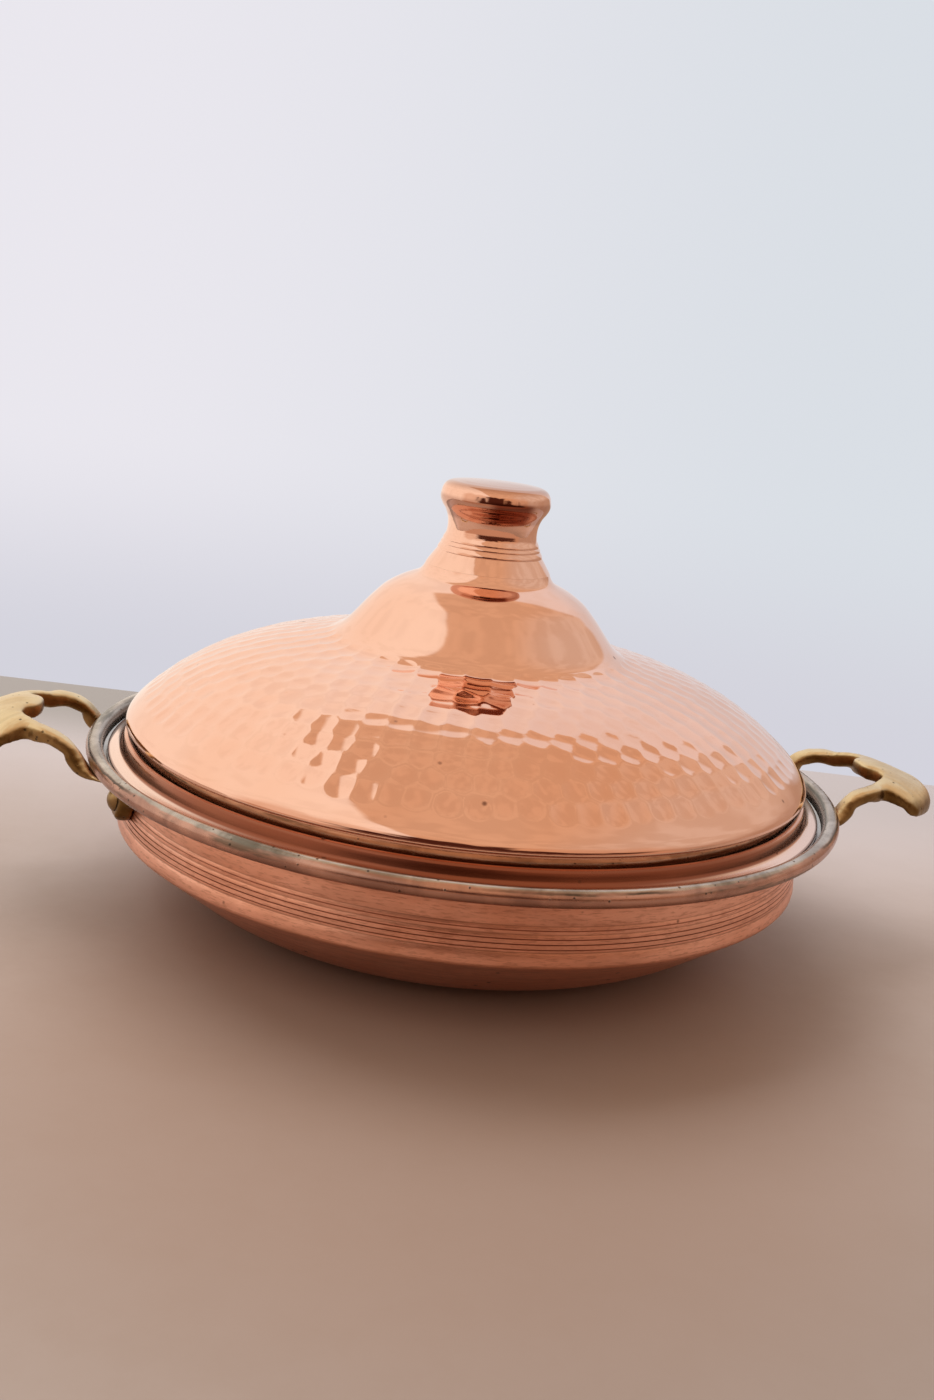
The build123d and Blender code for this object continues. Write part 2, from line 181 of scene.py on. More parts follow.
def make_polar():
    group = bpy.data.node_groups.new("polar_place", "ShaderNodeTree")
    for name in ("Radius", "Angle", "Height"):
        group.interface.new_socket(name, in_out="OUTPUT", socket_type="NodeSocketFloat")
    group.interface.new_socket("Round", in_out="OUTPUT", socket_type="NodeSocketVector")
    out = group.nodes.new("NodeGroupOutput")
    place = add(group, "TexCoord").outputs["Object"]
    x, y, z = add(group, "SeparateXYZ", {"Vector": place}).outputs
    radius = calc(group, "SQRT", calc(group, "ADD", times(group, x, x), times(group, y, y)))
    # Round is seamless: its first two values go round a circle, its third follows the section of the sheet.
    unit = add(group, "VectorMath", {0: place}, operation="NORMALIZE").outputs[0]
    flat = add(group, "SeparateXYZ", {"Vector": unit}).outputs
    along = calc(group, "ADD", radius, times(group, z, HEIGHT_SHARE))
    turned = {0: times(group, flat[0], ROUND_SIZE), 1: times(group, flat[1], ROUND_SIZE), 2: along}
    group.links.new(radius, out.inputs["Radius"])
    group.links.new(calc(group, "ARCTAN2", y, x), out.inputs["Angle"])
    group.links.new(z, out.inputs["Height"])
    group.links.new(add(group, "CombineXYZ", turned).outputs[0], out.inputs["Round"])
    return group


polar_group = make_polar()


def polar(tree):
    """Adds the polar group to a tree; returns its outputs."""
    node = tree.nodes.new("ShaderNodeGroup")
    node.node_tree = polar_group
    return node.outputs


print("group:", polar_group.name)

# %% [markdown]
# ## Age as a shared group
#
# Old polished copper is never one colour. Where fingers and cloths have been it is paler and pinker, where it was
# left alone it browns in soft clouds, and here and there sit small dark specks of oxide. One group makes those
# three masks, and each metal uses them in its own strength.

# %% The age group
def make_age():
    group = bpy.data.node_groups.new("metal_age", "ShaderNodeTree")
    for name in ("Cloud size", "Speck size", "Specks"):
        group.interface.new_socket(name, in_out="INPUT", socket_type="NodeSocketFloat")
    for name in ("Clouds", "Specks", "Smears"):
        group.interface.new_socket(name, in_out="OUTPUT", socket_type="NodeSocketFloat")
    source = group.nodes.new("NodeGroupInput").outputs
    out = group.nodes.new("NodeGroupOutput")
    place = add(group, "TexCoord").outputs["Object"]
    cloud_looks = {"Vector": place, "Scale": source["Cloud size"], "Detail": 5.0, "Roughness": 0.55, "Distortion": 0.6}
    cloud = add(group, "TexNoise", cloud_looks).outputs["Fac"]
    group.links.new(soften(group, cloud, 0.35, 0.68), out.inputs["Clouds"])
    dots = add(group, "TexVoronoi", {"Vector": place, "Scale": source["Speck size"]}, feature="F1").outputs
    # Each dot draws a number; only the few that draw below the chance become specks.
    draw = add(group, "SeparateColor", {"Color": dots["Color"]}).outputs[0]
    rare = calc(group, "GREATER_THAN", source["Specks"], draw)
    group.links.new(times(group, rare, soften(group, dots["Distance"], 0.30, 0.12)), out.inputs["Specks"])
    smear = speckle(group, place, 9.0, detail=6.0, roughness=0.6, stretch=(1.0, 1.0, 2.4))
    group.links.new(soften(group, smear, 0.42, 0.66), out.inputs["Smears"])
    return group


age_group = make_age()


def age(tree, clouds, specks, chance):
    """Adds the age group to a tree; returns its outputs."""
    node = tree.nodes.new("ShaderNodeGroup")
    node.node_tree = age_group
    for name, value in (("Cloud size", clouds), ("Speck size", specks), ("Specks", chance)):
        node.inputs[name].default_value = value
    return node.outputs


print("group:", age_group.name)

# %% [markdown]
# ## A metal to start from
#
# Every finish here is a bare metal: its colour is the colour of its reflections. A helper starts such a material,
# and another gives it its colour, its roughness and a fine relief.

# %% Start a metal
def new_metal(name):
    material = bpy.data.materials.new(name)
    material.use_nodes = True
    tree = material.node_tree
    tree.nodes.clear()
    shader = add(tree, "BsdfPrincipled", {"Metallic": 1.0})
    output = add(tree, "OutputMaterial")
    tree.links.new(shader.outputs[0], output.inputs["Surface"])
    return material, tree, shader


def set_looks(tree, shader, colour, rough, height, depth, strength):
    """Gives the shader colour, roughness and a relief; its height is in parts of a depth in metres."""
    bump = add(tree, "Bump", {"Height": height, "Strength": strength, "Distance": depth}).outputs[0]
    for name, value in (("Base Color", colour), ("Roughness", rough), ("Normal", bump)):
        tree.links.new(value, shader.inputs[name])


print("metal helpers ready")

# %% [markdown]
# ## Polished copper for the lid
#
# The lid is bright, pinkish copper, polished by hand over the hammer marks. It mirrors its surroundings almost
# sharply, with a slight haze in soft clouds, faint rings from the lathe and tiny dark specks. It is a warmer brown
# at the bottoms of the hammer marks, where the polishing cloth couldn't reach. The bands under the dome's edge are
# painted darker and browner, as painted shade. How deep a point lies in a hammer mark comes with the mesh, as an
# attribute.
#
# Where a finish changes, here and in the other metals, is given by radii and heights of the sections further down.
# Each pair holds the start and the end of a soft border.

# %% Lid copper
BANDS_EDGE = (96.5 * MM, 97.5 * MM)
BANDS_TOP = (50.6 * MM, 50.0 * MM)
LOW_BAND_TOP = (47.7 * MM, 47.0 * MM)
FLANGE_EDGE = (100.4 * MM, 101.0 * MM)
FLANGE_TOP = (44.1 * MM, 43.7 * MM)
FLANGE_LIP = (103.2 * MM, 103.6 * MM)
UNDER_KNOB_LIP = (116.0 * MM, 117.2 * MM, 122.0 * MM, 123.2 * MM)
KNOB_TOP_EDGE = (124.5 * MM, 126.2 * MM)
LID_FRONT = math.radians(90) + TURN
KNOB_FRONT = math.radians(80)


def facing_camera(tree, angle, offset):
    """1 where a turned piece faces the front, -1 at its back; offset says where the front is."""
    return calc(tree, "COSINE", calc(tree, "ADD", angle, offset))


def lid_coats(tree, place, edge, low, towards):
    """The darker and paler places of the lid, as masks and colours."""
    radius, height = place["Radius"], place["Height"]
    hollow = add(tree, "Attribute", attribute_name="hollow").outputs["Fac"]
    bands = times(tree, soften(tree, height, *BANDS_TOP), edge)
    lines = soften(tree, speckle(tree, place["Round"], 700.0, detail=2.0), 0.42, 0.66)
    flange = times(tree, soften(tree, radius, *FLANGE_EDGE), soften(tree, height, *FLANGE_TOP))
    return [
        (soften(tree, hollow, 0.05, 0.75, 0.0, 0.24), (0.90, 0.50, 0.355)),  # bottoms of the hammer marks
        # painted shade: both bands under the dome's edge are painted darker and browner
        (times(tree, bands, 0.6), (0.82, 0.38, 0.21)),  # both bands under the dome's edge
        # painted reflection: the lower band painted dark red, most towards the camera
        (low, (0.27, 0.080, 0.043)),  # the lower band, dark red towards the camera
        (times(tree, bands, 0.25, lines), (0.34, 0.12, 0.06)),  # fine turned lines in the bands
        (times(tree, flange, soften(tree, towards, 0.95, 0.62, 0.0, 0.9)), (0.98, 0.72, 0.60)),  # painted reflection: the flange painted paler at the sides, away from the camera
        # painted shade: the flange's outer lip darker where it goes down between lid and pan
        (soften(tree, radius, *FLANGE_LIP, 0.0, 0.75), (0.24, 0.10, 0.065)),  # outer lip of the flange
    ]


def knob_coats(tree, place):
    """Under the knob's lip it is painted dark red, as painted shade and reflection, most towards the camera; its top
    is a little browner.
    """
    middle = soften(tree, facing_camera(tree, place["Angle"], KNOB_FRONT), 0.88, 0.97)
    under = between(tree, place["Height"], *UNDER_KNOB_LIP)
    return [
        # painted shade and reflection under the lip, strongest towards the camera
        (times(tree, under, calc(tree, "MULTIPLY_ADD", middle, 0.55, 0.38)), (0.22, 0.045, 0.02)),
        (soften(tree, place["Height"], *KNOB_TOP_EDGE, 0.0, 0.9), (0.60, 0.34, 0.25)),
    ]


def make_lid_copper(name, knob=False):
    material, tree, shader = new_metal(name)
    place = polar(tree)
    marks = age(tree, clouds=16.0, specks=300.0, chance=0.012)
    towards = facing_camera(tree, place["Angle"], LID_FRONT)
    edge = soften(tree, place["Radius"], *BANDS_EDGE)
    # The lower band gets a painted reflection: dark red, strongest where it faces the camera.
    low = times(tree, soften(tree, place["Height"], *LOW_BAND_TOP), edge)
    low = times(tree, low, calc(tree, "MULTIPLY_ADD", soften(tree, towards, 0.15, 0.80), 0.84, 0.10))
    colour = blend_colours(tree, marks["Clouds"], (0.955, 0.605, 0.465), (0.93, 0.555, 0.405))
    coats = lid_coats(tree, place, edge, low, towards)
    if knob:
        coats += knob_coats(tree, place)
    coats.append((times(tree, marks["Specks"], 0.8), (0.16, 0.06, 0.035)))
    haze = calc(tree, "MULTIPLY_ADD", marks["Smears"], 0.045, 0.055)
    haze = calc(tree, "ADD", haze, times(tree, marks["Specks"], 0.3))
    haze = calc(tree, "ADD", haze, times(tree, low, 0.22))
    fine = speckle(tree, place["Round"], 900.0, detail=3.0)
    set_looks(tree, shader, lay_over(tree, colour, coats), haze, fine, 0.00002, 0.35)
    return material


lid_copper = make_lid_copper("polished_copper")
knob_copper = make_lid_copper("polished_copper_knob", knob=True)
print("made", lid_copper.name, knob_copper.name)

# %% [markdown]
# ## Turned copper for the pan
#
# The pan's outside is duller than the lid: it was turned but never polished bright, and it has been over a flame.
# Fine lines run round it. The deeper ones are cut in the mesh, at the heights given here, and darkened with oxide;
# the fine ones are relief. The belly is painted darker and browner than the wall, as a painted reflection of the
# shaded table under it.

# %% Pan copper
# Height and depth of each cut line, in millimetres.
GROOVES = [(26.3, 0.06), (27.05, 0.15), (28.3, 0.18), (29.55, 0.15), (30.7, 0.06), (31.7, 0.11), (32.8, 0.05)]
GROOVE_WIDTH = (0.22 * MM, 0.07 * MM)
BELLY = (23 * MM, 6 * MM)


def make_pan_copper():
    material, tree, shader = new_metal("turned_copper")
    place = polar(tree)
    marks = age(tree, clouds=30.0, specks=380.0, chance=0.03)
    lines = speckle(tree, place["Round"], 1400.0, detail=2.0, roughness=0.7)
    broad = speckle(tree, place["Round"], 260.0, detail=3.0)
    colour = blend_colours(tree, marks["Clouds"], (0.97, 0.52, 0.37), (0.84, 0.40, 0.26))
    coats = [(soften(tree, broad, 0.42, 0.62, 0.0, 0.40), (0.62, 0.30, 0.20))]
    for height, depth in GROOVES:
        off = calc(tree, "ABSOLUTE", calc(tree, "SUBTRACT", place["Height"], height * MM))
        oxide = times(tree, soften(tree, off, *GROOVE_WIDTH), 0.25 + 2.4 * depth)
        coats.append((oxide, (0.17, 0.06, 0.035)))
    coats += [
        (soften(tree, lines, 0.50, 0.66, 0.0, 0.45), (0.45, 0.20, 0.13)),  # fine lines
        # painted reflection of the shaded table: the belly darker and browner towards the bottom
        (soften(tree, place["Height"], *BELLY, 0.0, 0.35), (0.52, 0.23, 0.14)),
        (times(tree, marks["Specks"], 0.85), (0.09, 0.04, 0.03)),
    ]
    rough = calc(tree, "MULTIPLY_ADD", marks["Smears"], 0.08, 0.27)
    rough = calc(tree, "MULTIPLY_ADD", lines, 0.12, rough)
    set_looks(tree, shader, lay_over(tree, colour, coats), rough, lines, 0.00006, 0.6)
    return material


pan_copper = make_pan_copper()
print("made", pan_copper.name)

# %% [markdown]
# ## Tin
#
# Copper that touches food is lined with tin, wiped on hot with a rag. It is grey-silver with soft wiping streaks
# and a few dark specks.

# %% Tin
def make_tin():
    material, tree, shader = new_metal("wiped_tin")
    place = polar(tree)
    marks = age(tree, clouds=40.0, specks=350.0, chance=0.04)
    streaks = speckle(tree, place["Round"], 420.0, detail=5.0)
    colour = blend_colours(tree, marks["Clouds"], (0.62, 0.62, 0.60), (0.42, 0.43, 0.43))
    colour = blend_colours(tree, times(tree, marks["Specks"], 0.8), colour, (0.08, 0.08, 0.08))
    rough = calc(tree, "MULTIPLY_ADD", streaks, 0.18, 0.24)
    set_looks(tree, shader, colour, rough, streaks, 0.0001, 0.5)
    return material


tin = make_tin()
print("made", tin.name)

# %% [markdown]
# ## The worn rim
#
# The rolled rim is tinned on its crest and inner side and bare, browned copper on its outer side. The border
# between them is uneven, with a dark line where the tin ends, and the tin on the crest is scratched and darkened.
# One material does both, so that the border can wander: it compares the height of a point, shaken by noise, with
# the height of the crest.

# %% Rim
SHAKE = 2.2 * MM
INNER_SIDE = (107.4 * MM, 106.8 * MM)
TIN_START = (45.2 * MM, 45.6 * MM)
TIN_LINE = (44.8 * MM, 45.1 * MM, 45.2 * MM, 45.6 * MM)
GUTTER_TOP = (45.7 * MM, 44.5 * MM)


def make_rim():
    material, tree, shader = new_metal("worn_rim")
    place = polar(tree)
    marks = age(tree, clouds=70.0, specks=700.0, chance=0.10)
    shake = speckle(tree, place["Round"], 160.0, detail=6.0, roughness=0.65)
    level = calc(tree, "MULTIPLY_ADD", calc(tree, "SUBTRACT", shake, 0.5), SHAKE, place["Height"])
    inner = soften(tree, place["Radius"], *INNER_SIDE)
    tinned = calc(tree, "MAXIMUM", soften(tree, level, *TIN_START), inner)
    copper_side = blend_colours(tree, marks["Clouds"], (0.62, 0.35, 0.26), (0.38, 0.21, 0.16))
    tin_side = blend_colours(tree, marks["Clouds"], (0.60, 0.53, 0.46), (0.33, 0.27, 0.22))
    gutter = times(tree, inner, soften(tree, place["Height"], *GUTTER_TOP, 0.0, 0.9))
    line = between(tree, level, *TIN_LINE)
    colour = lay_over(tree, blend_colours(tree, tinned, copper_side, tin_side), [
        (gutter, (0.13, 0.145, 0.135)),  # painted shade: the tin inside the rim darker down to the ledge
        (times(tree, line, soften(tree, marks["Smears"], 0.1, 0.5), 0.9), (0.06, 0.055, 0.04)),  # end of the tin
        (soften(tree, shake, 0.53, 0.66, 0.0, 0.8), (0.13, 0.115, 0.085)),  # dirt
        (times(tree, marks["Specks"], 0.8), (0.05, 0.04, 0.03)),
    ])
    rough = calc(tree, "MULTIPLY_ADD", shake, 0.25, 0.14)
    set_looks(tree, shader, colour, rough, calc(tree, "ADD", shake, marks["Specks"]), 0.00025, 0.5)
    return material


worn_rim = make_rim()
print("made", worn_rim.name)

# %% [markdown]
# ## Cast brass for the handles
#
# The handles are sand-cast brass. Their tops are rubbed to a pale gold by hands, their flanks keep the dark olive
# skin of the casting, and small pits are left everywhere. The rub and a painted light and shade follow which way the
# surface faces: faces that look up are painted pale, as if lit from above, and flanks and undersides are painted
# dark, as in shade. Flutes fan out over the grip, and its tip is dark; where they start is counted outwards from the
# grip's root.

# %% Handle brass
GRIP_ROOT = 112 * MM
FLUTES_START = (10 * MM, 18 * MM)
TIP_START = (32.5 * MM, 34.5 * MM)


def make_brass(name, pale, dark, rub_and_shade):
    material, tree, shader = new_metal(name)
    marks = age(tree, clouds=60.0, specks=600.0, chance=0.12)
    place = add(tree, "TexCoord").outputs["Object"]
    facing = add(tree, "SeparateXYZ", {"Vector": add(tree, "NewGeometry").outputs["Normal"]}).outputs[2]
    shake = speckle(tree, place, 110.0, detail=6.0, roughness=0.6)
    facing = calc(tree, "MULTIPLY_ADD", calc(tree, "SUBTRACT", shake, 0.5), 0.55, facing)
    x, y, _ = add(tree, "SeparateXYZ", {"Vector": place}).outputs
    out = calc(tree, "SUBTRACT", calc(tree, "ABSOLUTE", x), GRIP_ROOT)
    fan = add(tree, "CombineXYZ", {0: calc(tree, "ARCTAN2", y, out), 1: times(tree, out, 3.0)}).outputs[0]
    flutes = add(tree, "TexNoise", {"Vector": fan, "Scale": 9.0, "Detail": 5.0, "Roughness": 0.62}).outputs["Fac"]
    flute = times(tree, soften(tree, flutes, 0.44, 0.68), soften(tree, out, *FLUTES_START))
    tip = times(tree, soften(tree, out, *TIP_START), soften(tree, shake, 0.45, 0.60))
    # painted light and shade together with the rub: faces that look up are pale, flanks and undersides dark
    colour = lay_over(tree, blend_colours(tree, soften(tree, facing, *rub_and_shade), dark, pale), [
        (times(tree, flute, 0.26), (0.45, 0.33, 0.15)),
        (times(tree, tip, 0.8), (0.09, 0.065, 0.04)),
        (times(tree, marks["Clouds"], 0.4), (0.62, 0.40, 0.18)),
        (times(tree, marks["Specks"], 0.75), (0.06, 0.04, 0.02)),
    ])
    rough = calc(tree, "MULTIPLY_ADD", shake, 0.22, 0.24)
    grain = speckle(tree, place, 700.0, detail=4.0, roughness=0.6)
    coarse = calc(tree, "MULTIPLY_ADD", flute, -0.5, grain)
    set_looks(tree, shader, colour, rough, calc(tree, "SUBTRACT", coarse, marks["Specks"]), 0.00022, 0.7)
    return material


cast_brass = make_brass("cast_brass", pale=(0.85, 0.69, 0.42), dark=(0.17, 0.095, 0.028), rub_and_shade=(0.30, 0.80))
rivet_brass = make_brass("dark_rivet_brass", pale=(0.55, 0.38, 0.18), dark=(0.20, 0.12, 0.05), rub_and_shade=(-0.2, 1.0))
plug_brass = make_brass("plain_brass", pale=(0.72, 0.55, 0.28), dark=(0.60, 0.44, 0.22), rub_and_shade=(0.15, 0.75))
print("made", cast_brass.name, rivet_brass.name, plug_brass.name)

# %% [markdown]
# ## Steel for the hidden pieces
#
# The wire in the rim and the screw under the knob are plain steel, grey with a little brown.

# %% Steel
def make_steel():
    material, tree, shader = new_metal("grey_steel")
    marks = age(tree, clouds=120.0, specks=900.0, chance=0.10)
    grain = speckle(tree, add(tree, "TexCoord").outputs["Object"], 900.0)
    colour = blend_colours(tree, marks["Clouds"], (0.50, 0.49, 0.47), (0.34, 0.31, 0.28))
    colour = blend_colours(tree, marks["Specks"], colour, (0.18, 0.10, 0.06))
    set_looks(tree, shader, colour, calc(tree, "MULTIPLY_ADD", grain, 0.2, 0.28), grain, 0.00004, 0.5)
    return material


steel = make_steel()
print("made", steel.name)

# %% [markdown]
# ## Drawing a section and spinning it
#
# The lid, the pan and the knob are sheets that were spun on a lathe, and they are made the same way here: half a
# section is drawn as a chain of edges and spun round the axis. Corners are rounded by a few points each, as a
# spinner rounds them over the former. Long smooth lines, such as the dome, are drawn as a curve through a few
# points and turned into a chain.

# %% Section helpers
SPIN_STEPS = 360
KNOB_STEPS = 192


def as_chain(bm, points):
    """Adds vertices at (radius, height) in millimetres and joins them; returns them."""
    chain = [bm.verts.new((x * MM, 0, z * MM)) for x, z in points]
    for a, b in zip(chain, chain[1:]):
        bm.edges.new((a, b))
    return chain


def smooth_line(points, pieces):
    """Points of a smooth curve through the given ones, read from a Bezier curve."""
    data = bpy.data.curves.new("section", "CURVE")
    data.dimensions = "3D"
    spline = data.splines.new("BEZIER")
    spline.bezier_points.add(len(points) - 1)
    for knot, (x, z) in zip(spline.bezier_points, points):
        knot.co = (x, 0, z)
        knot.handle_left_type = knot.handle_right_type = "AUTO"
    data.resolution_u = pieces
    holder = bpy.data.objects.new("section", data)
    mesh = bpy.data.meshes.new_from_object(holder)
    line = [(v.co.x, v.co.z) for v in mesh.vertices]
    bpy.data.objects.remove(holder)
    bpy.data.meshes.remove(mesh)
    return line


def spin_section(bm, steps):
    """Spins everything in the bmesh once round Z and closes it."""
    bmesh.ops.spin(
        bm, geom=bm.verts[:] + bm.edges[:], cent=(0, 0, 0), axis=(0, 0, 1), dvec=(0, 0, 0),
        angle=math.tau, steps=steps, use_merge=True, use_normal_flip=False, use_duplicate=False,
    )
    bmesh.ops.remove_doubles(bm, verts=bm.verts[:], dist=1e-6)
    bmesh.ops.recalc_face_normals(bm, faces=bm.faces[:])
    bm.normal_update()


def finish_piece(name, bm, body, materials, replaced, sharp=38):
    """Turns a bmesh into a piece that rides on a body and stands for a node; sharp is in degrees."""
    mesh = bpy.data.meshes.new(name)
    bm.to_mesh(mesh)
    bm.free()
    mesh.polygons.foreach_set("use_smooth", [True] * len(mesh.polygons))
    mesh.set_sharp_from_angle(angle=math.radians(sharp))
    for material in materials:
        mesh.materials.append(material)
    piece = bpy.data.objects.new(name, mesh)
    scene.collection.objects.link(piece)
    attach(piece, body)
    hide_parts(replaced)
    mesh.calc_loop_triangles()
    print(name, len(mesh.loop_triangles), "triangles")


print("section helpers ready")

# %% [markdown]
# ## The lid's sheet
#
# From the rim inwards the lid has a flat flange, two bands with a step between them, the dome's sharp edge, the
# hammered dome, a smooth bell-shaped crown and a small flat where the knob stands. The outer side gets many points
# along the dome, because the hammer marks are modelled, and the inner side gets few.

# %% Draw and spin the lid
SCREW_HOLE = 2.55
SEAT = 102.3
DOME_LINE = [
    (99.5, 50.9), (99.3, 51.8), (98.7, 53.0), (97.8, 54.2), (95.0, 57.1), (90.4, 61.1), (83.6, 65.9), (75.2, 70.4),
    (64.3, 74.6), (51.6, 77.7), (46.8, 78.8), (43.4, 79.9), (41.2, 81.1),
]
CROWN_LINE = [
    (41.2, 81.1), (39.9, 82.1), (38.1, 84.0), (36.4, 86.1), (34.9, 88.0), (33.3, 90.0), (31.5, 92.0), (29.8, 93.8),
    (28.0, 95.2), (26.3, 96.3), (24.6, 97.25), (22.8, 98.1), (21.0, 98.9), (19.7, 99.65), (18.95, 100.5),
    (18.4, 101.4), (18.0, SEAT),
]
UPPER_BAND = [(99.45, 50.65), (99.2, 50.4), (98.98, 50.25), (98.97, 49.8), (98.88, 48.3), (98.82, 47.6), (98.8, 47.35)]
LOWER_BAND = [(99.15, 47.25), (99.5, 47.05), (99.75, 46.5), (100.0, 45.6), (100.25, 44.7), (100.45, 44.1)]
FLANGE = [(100.85, 43.75), (101.6, 43.4), (102.6, 43.15), (103.6, 42.95), (103.9, 42.8), (104.0, 42.6)]
INNER_LINE = [
    (104.0, 41.8), (102.4, 42.2), (99.6, 42.9), (99.2, 46.0), (98.3, 46.6), (97.9, 47.9), (97.85, 50.2), (97.9, 52.2),
    (94.6, 56.0), (90.0, 59.9), (83.1, 65.0), (74.8, 69.4), (64.0, 73.6), (51.3, 76.7), (42.2, 79.0), (38.0, 80.4),
    (36.8, 83.4), (34.5, 86.6), (29.5, 91.8), (22.9, 96.2), (18.6, 98.9), (15.9, 101.3), (SCREW_HOLE, 101.3),
]

outer = [(SCREW_HOLE, SEAT), (9.0, SEAT), (15.0, SEAT)]
outer += smooth_line(CROWN_LINE, 2)[::-1] + smooth_line(DOME_LINE, 5)[::-1][1:] + UPPER_BAND + LOWER_BAND + FLANGE
section = bmesh.new()
chain = as_chain(section, outer + INNER_LINE)
section.edges.new((chain[-1], chain[0]))
spin_section(section, SPIN_STEPS)


def on_dome(vert, least, most):
    """Whether a vertex is on the dome's outer face, between two radii in millimetres."""
    return vert.normal.z > 0.2 and least * MM < math.hypot(vert.co.x, vert.co.y) < most * MM


dome = [edge for edge in section.edges if all(on_dome(vert, 39.9, 97.5) for vert in edge.verts)]
bmesh.ops.subdivide_edges(section, edges=dome, cuts=1, use_grid_fill=True)
section.normal_update()
print("lid:", len(section.faces), "faces before hammering")

# %% [markdown]
# ## Hammer marks
#
# The coppersmith works round the dome in rings, one blow beside the last, each ring set half a blow off from the
# ring before. Each blow leaves a shallow round hollow about 8 mm across, which overlaps the next. A texture could
# paint them, but hollows in the mesh also catch the light along the dome's outline. Every vertex is pushed in by
# the deepest hollow that reaches it. The blows wander a little, with a fixed seed, as a hand does.

# %% Place the blows
PITCH = 6.8 * MM
FIRST_RING = 92.2 * MM
LAST_RING = 44.5 * MM
random.seed(7)


def dome_rings():
    """Radius of each ring of blows, from the dome's edge to the crown, with its blows' angles and offsets."""
    rings = []
    radius = FIRST_RING
    while radius > LAST_RING:
        count = round(math.tau * radius / PITCH)
        start = 0.5 * (len(rings) % 2)
        blows = []
        for k in range(count):
            angle = (k + start + random.uniform(-0.13, 0.13)) * math.tau / count
            wander = random.uniform(-0.55, 0.55) * MM
            blows.append((angle, radius + wander, random.uniform(0.72, 1.12)))
        rings.append((radius, blows))
        # Rings are evenly spaced along the dome, so they are closer in radius where it is steep.
        slope = 0.80 if radius > 84 * MM else 0.88 if radius > 70 * MM else 0.95
        radius -= 0.86 * PITCH * slope
    return rings


rings = dome_rings()
print(len(rings), "rings of blows,", sum(len(blows) for _, blows in rings), "blows")

# %% Hammer the dome
HOLLOW = 3.9 * MM
DEPTH = 0.34 * MM
REACH = HOLLOW + 1.2 * MM


def deepest_blow(place, steep, rings):
    """How deep a point lies in the deepest hollow that reaches it: 0 outside, about 1 in the middle."""
    radius = math.hypot(place.x, place.y)
    angle = math.atan2(place.y, place.x)
    deepest = 0.0
    for ring_radius, blows in rings:
        if abs(radius - ring_radius) * steep > REACH:
            continue
        near = int(round(angle / math.tau * len(blows)))
        for k in (near - 1, near, near + 1):
            blow_angle, blow_radius, force = blows[k % len(blows)]
            around = radius * math.remainder(angle - blow_angle, math.tau)
            away = math.hypot(around, (radius - blow_radius) * steep)
            deepest = max(deepest, force * (1 - (away / HOLLOW) ** 2))
    return deepest


def hammer(bm, rings):
    """Pushes the outer face of the dome in under each blow and notes the depth as an attribute."""
    depths = bm.verts.layers.float.new("hollow")
    moves = []
    for vert in bm.verts:
        if on_dome(vert, 39.6, 97):
            deepest = deepest_blow(vert.co, 1.0 / max(vert.normal.z, 0.3), rings)
            if deepest > 0:
                moves.append((vert, deepest))
    for vert, deepest in moves:
        vert[depths] = deepest
        vert.co -= vert.normal * (DEPTH * deepest)
    return len(moves)


print(hammer(section, rings), "vertices moved")
finish_piece("hammered_lid", section, "lid", [lid_copper], "lid_shell")

# %% [markdown]
# ## The knob
#
# The knob is spun from thin copper like the lid: a foot that flares into the crown, with two rings turned above
# it, a narrow neck, a rolled lip and a nearly flat top. It is a closed section, hollow inside, as the real one is.

# %% Spin the knob
KNOB_FOOT = [
    (18.05, 102.33), (17.55, 103.2), (17.0, 104.0), (16.5, 104.8), (15.95, 105.6), (15.45, 106.3), (15.2, 106.65),
    (15.22, 107.0), (15.05, 107.5), (14.75, 108.0), (14.42, 108.4), (14.45, 108.75), (14.25, 109.2), (13.9, 109.6),
    (13.93, 109.95), (13.75, 110.4), (13.45, 110.9), (13.2, 111.4),
]
KNOB_NECK = [
    (13.05, 112.0), (12.95, 113.6), (13.2, 115.8), (14.0, 117.9), (15.2, 119.7), (15.85, 121.3), (15.75, 123.0),
    (15.15, 124.9), (13.9, 126.05), (11.0, 126.6), (7.0, 126.9), (3.0, 127.05),
]
KNOB_TOP = [(0.0, 127.1)]
KNOB_INNER = [
    (0.0, 126.2), (7.5, 125.9), (12.2, 125.2), (14.2, 123.9), (14.6, 122.6), (14.2, 121.3), (12.7, 119.3),
    (11.4, 115.6), (11.3, 111.7), (12.1, 108.3), (13.3, 106.1), (13.3, 102.35),
]
section = bmesh.new()
chain = as_chain(section, KNOB_FOOT + smooth_line(KNOB_NECK, 6) + KNOB_TOP)
chain_back = as_chain(section, KNOB_INNER)
section.edges.new((chain_back[-1], chain[0]))
spin_section(section, KNOB_STEPS)
finish_piece("spun_knob", section, "lid", [knob_copper], "knob")

# %% [markdown]
# ## The pan
#
# The pan is one sheet: a flat base, a rounded belly, a crease at the knuckle, an upright wall, a ledge that
# carries the lid, and a rim rolled outwards over a wire. On the lathe seven lines were cut in the wall. The
# outside, the rim and the tinned inside are three finishes on one mesh.

# %% Draw the pan's section
CUT = ((-0.15, 0), (-0.03, 1), (0.03, 1), (0.15, 0))
BELLY_MIDDLE = (53.1, 52.0)
RIM_ROLL = (107.65, 43.5)


def arc(middle, radius, start, end, steps):
    """Points of an arc in degrees, as a spinner's template gives them."""
    turns = [math.radians(start + (end - start) * k / steps) for k in range(steps + 1)]
    return [(middle[0] + radius * math.cos(a), middle[1] + radius * math.sin(a)) for a in turns]


def wall_out(height):
    """The wall's outer radius at a height: it leans in by 2.4 over 17.9."""
    return 100.4 - 2.4 * (height - 22.5) / 17.9


